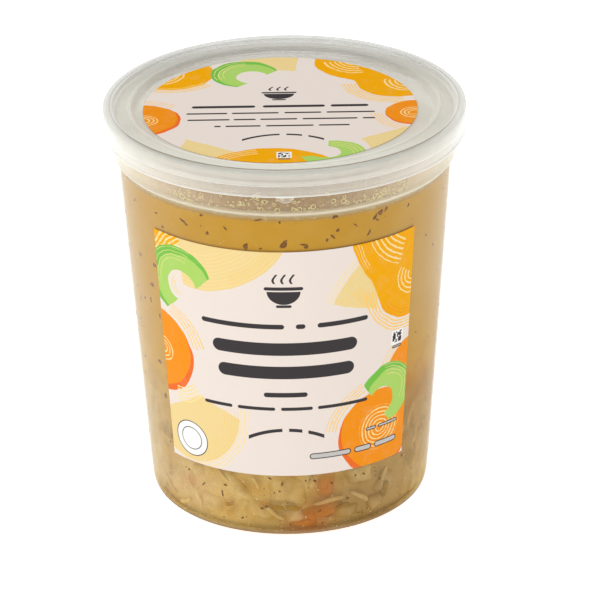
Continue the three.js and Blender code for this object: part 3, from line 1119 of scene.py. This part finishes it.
def make_celery(draw):
    """Two short flat strips low at the front, and thin slices elsewhere."""
    pile = Pile()
    for angle, long, tilt in ((-4.8, 3.7, -3), (0.8, 4.4, -7)):
        chunk(pile, draw, angle, 12, long, 1.7, tilt, -0.35, -0.2, square=7, flat=8)
    for angle, height, long, wide, tilt in (
        (-26, 11, 3, 1.4, 20),
        (43, 12, 6, 2.6, 70),
        (22, 10.4, 5, 1.2, 12),
        (60, 18, 6, 2.6, 80),
    ):
        strand(pile, draw, angle, height, long, wide, 0.8, tilt, 0, 0.1, 0.3, 8, 10)
    for _ in range(CELERY_STRIPS):
        place, long, wide = anywhere(draw), draw.uniform(2.5, 9), draw.uniform(0.9, 3)
        tilt, near, bend = draw.uniform(0, 180), draw.uniform(0, 0.9), draw.uniform(-0.5, 0.5)
        strand(pile, draw, *place, long, wide, 0.8, tilt, near, bend, 0.4, 8, 10)
    paint = two_tone(srgb(142, 100, 0), srgb(158, 116, 4), 2.5)
    pile.piece("celery", material("celery", sunk(paint, 0.1)))


def make_herbs(draw):
    """Dark flecks. Those that have a place of their own lie near the surface and below the wall label."""
    pile = Pile()

    def fleck(angle, height, size, near):
        shape = draw.uniform(0.25, 0.75)
        corners = draw.uniform(1.2, 3.5)
        tilt = draw.uniform(0, 180)
        chunk(pile, draw, angle, height, size, size * shape, tilt, near, near + 0.45, corners, 11, 5, 2.2)

    for angle, height, size in (
        (-38, 113, 2.2), (-36.5, 112, 1.4), (-30, 116.6, 1.6), (-9.3, 117.6, 2.6), (-2, 116.8, 1.2),
        (17, 117.6, 2.8), (16.2, 110.6, 2.4), (14.2, 109.6, 1.6), (24.5, 113.4, 1.8), (32, 114.6, 2.4),
        (34.2, 115.8, 3), (36.5, 116.4, 2.2), (33, 113.4, 1.8), (29.8, 109.6, 2.2), (47, 114.8, 1.5),
        (-28, 110.6, 1.7), (-0.8, 108.9, 3.4), (6, 108.7, 2.6), (6.9, 107.8, 2), (-14, 107.8, 2.5),
        (-8.8, 107.4, 1.3), (18, 112.6, 1.5), (-21, 113.4, 1.7), (-51, 112, 1.4), (-48, 108, 1.3),
        (-55, 92, 2.2), (-58, 84, 2.6), (-60, 78, 1.8), (-54.5, 74, 1.6), (-58, 56, 2.4),
        (-56, 44, 1.8), (59, 100, 1.4), (56, 66, 1.4),
    ):
        fleck(angle, height, size, -0.4)
    for angle, height, size in (
        (-37.5, 16.5, 1.9), (-27, 18.3, 1.2), (-28.5, 15, 2), (-8, 22.9, 1.3),
        (-6.3, 17.5, 0.8), (-4.2, 18.2, 0.9), (-3.2, 20.8, 1.6), (6.3, 21.9, 0.9), (10, 21.5, 1.4),
        (17, 20, 1.2), (24, 13.2, 1.2), (-9.7, 12.2, 1.2), (-1, 13.8, 0.9), (0, 5.5, 1.3),
        (12, 10, 1), (31, 21, 1), (-11.6, 11.4, 1.4), (39, 17, 1.2), (-45, 20, 1), (-20, 7, 0.9),
        (52, 22, 1.2),
    ):
        fleck(angle, height, size, -0.38)
    for _ in range(TINY_HERBS):
        height = 3 + 113 * draw.random() ** 1.4
        fleck(draw.uniform(0, 360), height, draw.uniform(0.3, 0.9), draw.uniform(-0.4, 0))
    for _ in range(SIDE_HERBS):
        fleck(draw.uniform(64, 296), 118 - 75 * draw.random() ** 1.8, 0.5 + 2.2 * draw.random() ** 2, -0.38)
    paint = two_tone(srgb(98, 58, 2), srgb(146, 92, 14), 0.6)
    pile.piece("herbs", material("herb", sunk(paint, 0)))


def make_crumbs(draw):
    """Tiny pale crumbs of fat and chicken."""
    pile = Pile()
    for _ in range(CRUMBS):
        near = draw.uniform(-0.35, 0.25)
        size = draw.uniform(0.25, 0.75)
        height = 2.5 + 110 * draw.random() ** 2.6
        chunk(pile, draw, draw.uniform(0, 360), height, size, size * 0.8, 0, near, near + 0.3, 2, 7)
    paint = two_tone(srgb(232, 214, 168), srgb(222, 196, 134), 0.8)
    pile.piece("crumbs", material("crumb", sunk(paint, 0.1)))


# ---- foam and drops above the soup ----


def shoulder_radius(z):
    """Radius of the tub's inner face through the shoulder."""
    rise = min(max((z - SHOULDER) / SHOULDER_HEIGHT, 0), 1)
    return CONE_TOP_RADIUS - WALL + (NECK_RADIUS - CONE_TOP_RADIUS) * (1 - math.cos(math.pi * rise)) / 2


def foam_colour(look):
    """Pale foam, ragged at its lower edge, and thinner up the shoulder."""
    _, _, z = look.spot
    ragged = z + 1.1 * (look.noise(2.2, 4, 0.65) - 0.5)
    upper = ragged.between(SOUP_LEVEL - 1, SOUP_LEVEL + 1)
    colour = look.blend(srgb(196, 160, 94), srgb(190, 178, 144), upper)
    colour = look.blend(colour, srgb(206, 194, 148), look.noise(1.2, 2).between(0.55, 0.7))
    thick = 0.75 - 0.25 * z.between(SOUP_LEVEL + 1, SOUP_LEVEL + 3)
    return look.thin(ragged.between(SOUP_LEVEL - 1.9, SOUP_LEVEL - 0.5) * thick, look.solid(colour, 0.7, 0.1))


def make_foam(draw):
    """An uneven rim of foam where the soup meets the shoulder."""
    waves = [(k, draw.uniform(0, FULL_TURN), draw.uniform(0.3, 1)) for k in (3, 5, 8, 13, 21, 34)]
    rings = []
    for i in range(360):
        turn = math.radians(i)
        swell = sum(a * math.sin(k * turn + start) for k, start, a in waves) / 6
        top = SOUP_LEVEL + 3.1 + 0.4 * swell
        thick = 0.9 + 0.4 * swell
        bottom = SOUP_LEVEL - 2.4
        foot = cone_radius(bottom) - SOUP_IN
        section = [(shoulder_radius(z) + WALL - SOUP_IN + 0.1, z) for z in np.linspace(SOUP_LEVEL, top, 4)]
        crest = CONE_TOP_RADIUS - SOUP_IN - thick
        section += [(shoulder_radius(top) - 0.3 * thick, top), (crest, SOUP_LEVEL + 0.3)]
        section += [(foot - 0.2, bottom), (foot + 0.1, bottom)]
        rings.append([around(turn, r, z) for r, z in section])
    pile = Pile()
    pile.skin(rings, hoop=True)
    pile.piece("foam", material("foam", foam_colour))


def drop_film(look):
    """A clear drop, pale where its edge bends the light."""
    return look.film(srgb(246, 240, 214), 0.06 + 0.1 * look.noise(3), 0.08, None, 0.8)


def dome(pile, centre, out, radius, height, points=8):
    """A drop that sits on a surface whose face points out."""
    out = Vector(out).normalized()
    side = out.orthogonal().normalized()
    other = out.cross(side)
    centre = Vector(centre) - out * 0.05
    rings = []
    for reach, lift in ((1, 0), (0.88, 0.55), (0.5, 0.9)):
        ring = [centre + (side * math.cos(a) + other * math.sin(a)) * radius * reach for a in circle(points)]
        rings.append([tuple(point + out * lift * height) for point in ring])
    pile.skin(rings)


def make_drops(draw):
    """Condensation on the neck's inner face and under the lid."""
    pile = Pile()
    inner = NECK_RADIUS - WALL + 0.2
    for _ in range(NECK_DROPS):
        turn, z = draw.uniform(0, FULL_TURN), draw.uniform(SHOULDER + 2.8, RIM_BOTTOM - 0.8)
        radius = 0.12 + 0.42 * draw.random() ** 3
        dome(pile, around(turn, inner, z), around(turn, -1, 0), radius, radius * 0.7)
    for _ in range(LID_DROPS):
        turn, reach = draw.uniform(0, FULL_TURN), (PANEL_RADIUS - 1) * math.sqrt(draw.random())
        radius = 0.2 + 0.8 * draw.random() ** 3
        dome(pile, around(turn, reach, PANEL - WALL), (0, 0, -1), radius, radius * 0.5)
    pile.piece("drops", material("drop", drop_film))


def fat_film(look):
    """Pale fat, a little see-through."""
    colour = look.blend(srgb(252, 246, 196), srgb(240, 226, 156), look.noise(2))
    return look.thin(0.8, look.solid(colour, 0.25, 0.4))


def make_bubbles(draw):
    """Rings of fat left by bubbles on the neck's inner face, in clusters."""
    pile = Pile()
    inner = NECK_RADIUS - WALL + 0.35
    clusters = [(draw.uniform(0, FULL_TURN), SHOULDER + draw.uniform(2.4, 6)) for _ in range(BUBBLE_CLUSTERS)]
    for _ in range(BUBBLES):
        turn, z = draw.choice(clusters)
        turn += draw.gauss(0, 0.07)
        z = min(max(z + draw.gauss(0, 1.3), SHOULDER + 2.9), RIM_BOTTOM - 1.6)
        radius = 0.16 + 0.75 * draw.random() ** 2.4
        tube = 0.07 + 0.12 * radius
        rings = []
        for a in circle(14):
            ring = []
            for b in circle(6):
                reach = radius + tube * math.cos(b)
                r = inner - 0.6 * tube + 0.9 * tube * math.sin(b)
                ring.append(around(turn + reach * math.cos(a) / inner, r, z + reach * math.sin(a)))
            rings.append(ring)
        pile.skin(rings, hoop=True)
    pile.piece("bubbles", material("fat", fat_film))


# ---- the setting ----


def make_floor():
    size = 6  # metres from its middle to each side
    mesh = bpy.data.meshes.new("floor")
    corners = [(-size, -size, 0), (size, -size, 0), (size, size, 0), (-size, size, 0)]
    mesh.from_pydata(corners, [], [(0, 1, 2, 3)])
    floor = in_scene("floor", mesh)

    def paint(look):
        grain = look.noise(900)
        colour = look.blend(srgb(250, 250, 250), srgb(246, 246, 245), grain)
        matt = look.blend(srgb(200, 200, 200), srgb(196, 196, 196), grain)
        return look.solid(matt, 0.8, 0.5, **{"Emission Color": colour, "Emission Strength": 0.95})

    mesh.materials.append(material("floor", paint))


def make_light(name, place, size, power):
    """A square soft light that looks at the tub."""
    lamp = bpy.data.lights.new(name, "AREA")
    lamp.size = size
    lamp.energy = power
    light = in_scene(name, lamp)
    light.location = place
    middle = Vector((0, 0, 0.06))
    light.rotation_euler = (middle - Vector(place)).to_track_quat("-Z", "Y").to_euler()


def make_lights():
    world = bpy.data.worlds.new("studio")
    bpy.context.scene.world = world
    world.use_nodes = True
    background = world.node_tree.nodes["Background"]
    background.inputs["Color"].default_value = (1, 1, 1, 1)
    background.inputs["Strength"].default_value = 0.6
    make_light("key", (-0.95, -0.85, 1.4), 0.9, 7.2)
    make_light("back", (0.1, 0.8, 1.7), 0.8, 7.8)


def make_camera():
    """A long lens, looking down at the front of the tub, a little rolled."""
    elevation, roll = math.radians(24.736), math.radians(-0.858)
    distance, sensor, lens_share = 1.5826, 36, 7.998617
    target = Vector((4.151, 0, 65.186)) * MM
    back = Vector((0, -math.cos(elevation), math.sin(elevation)))
    right, up = Vector((1, 0, 0)), Vector((0, math.sin(elevation), math.cos(elevation)))
    across = right * math.cos(roll) + up * math.sin(roll)
    upward = up * math.cos(roll) - right * math.sin(roll)
    lens = bpy.data.cameras.new("camera")
    lens.sensor_width = sensor
    lens.lens = sensor * lens_share
    lens.clip_end = 100
    camera = in_scene("camera", lens)
    turn = Matrix((across, upward, back)).transposed()
    camera.matrix_world = Matrix.Translation(target + back * distance) @ turn.to_4x4()
    bpy.context.scene.camera = camera


make_camera()
make_floor()
make_lights()
make_tub()
make_lid()
make_broth()
for make in (make_noodles, make_chicken, make_carrots, make_celery, make_herbs, make_crumbs):
    make(random.Random(SEED))
for make in (make_foam, make_drops, make_bubbles):
    make(random.Random(SEED))
make_wall_label()
make_lid_label()

bpy.context.scene.view_settings.view_transform = "Standard"
bpy.context.scene.cycles.transparent_max_bounces = 32
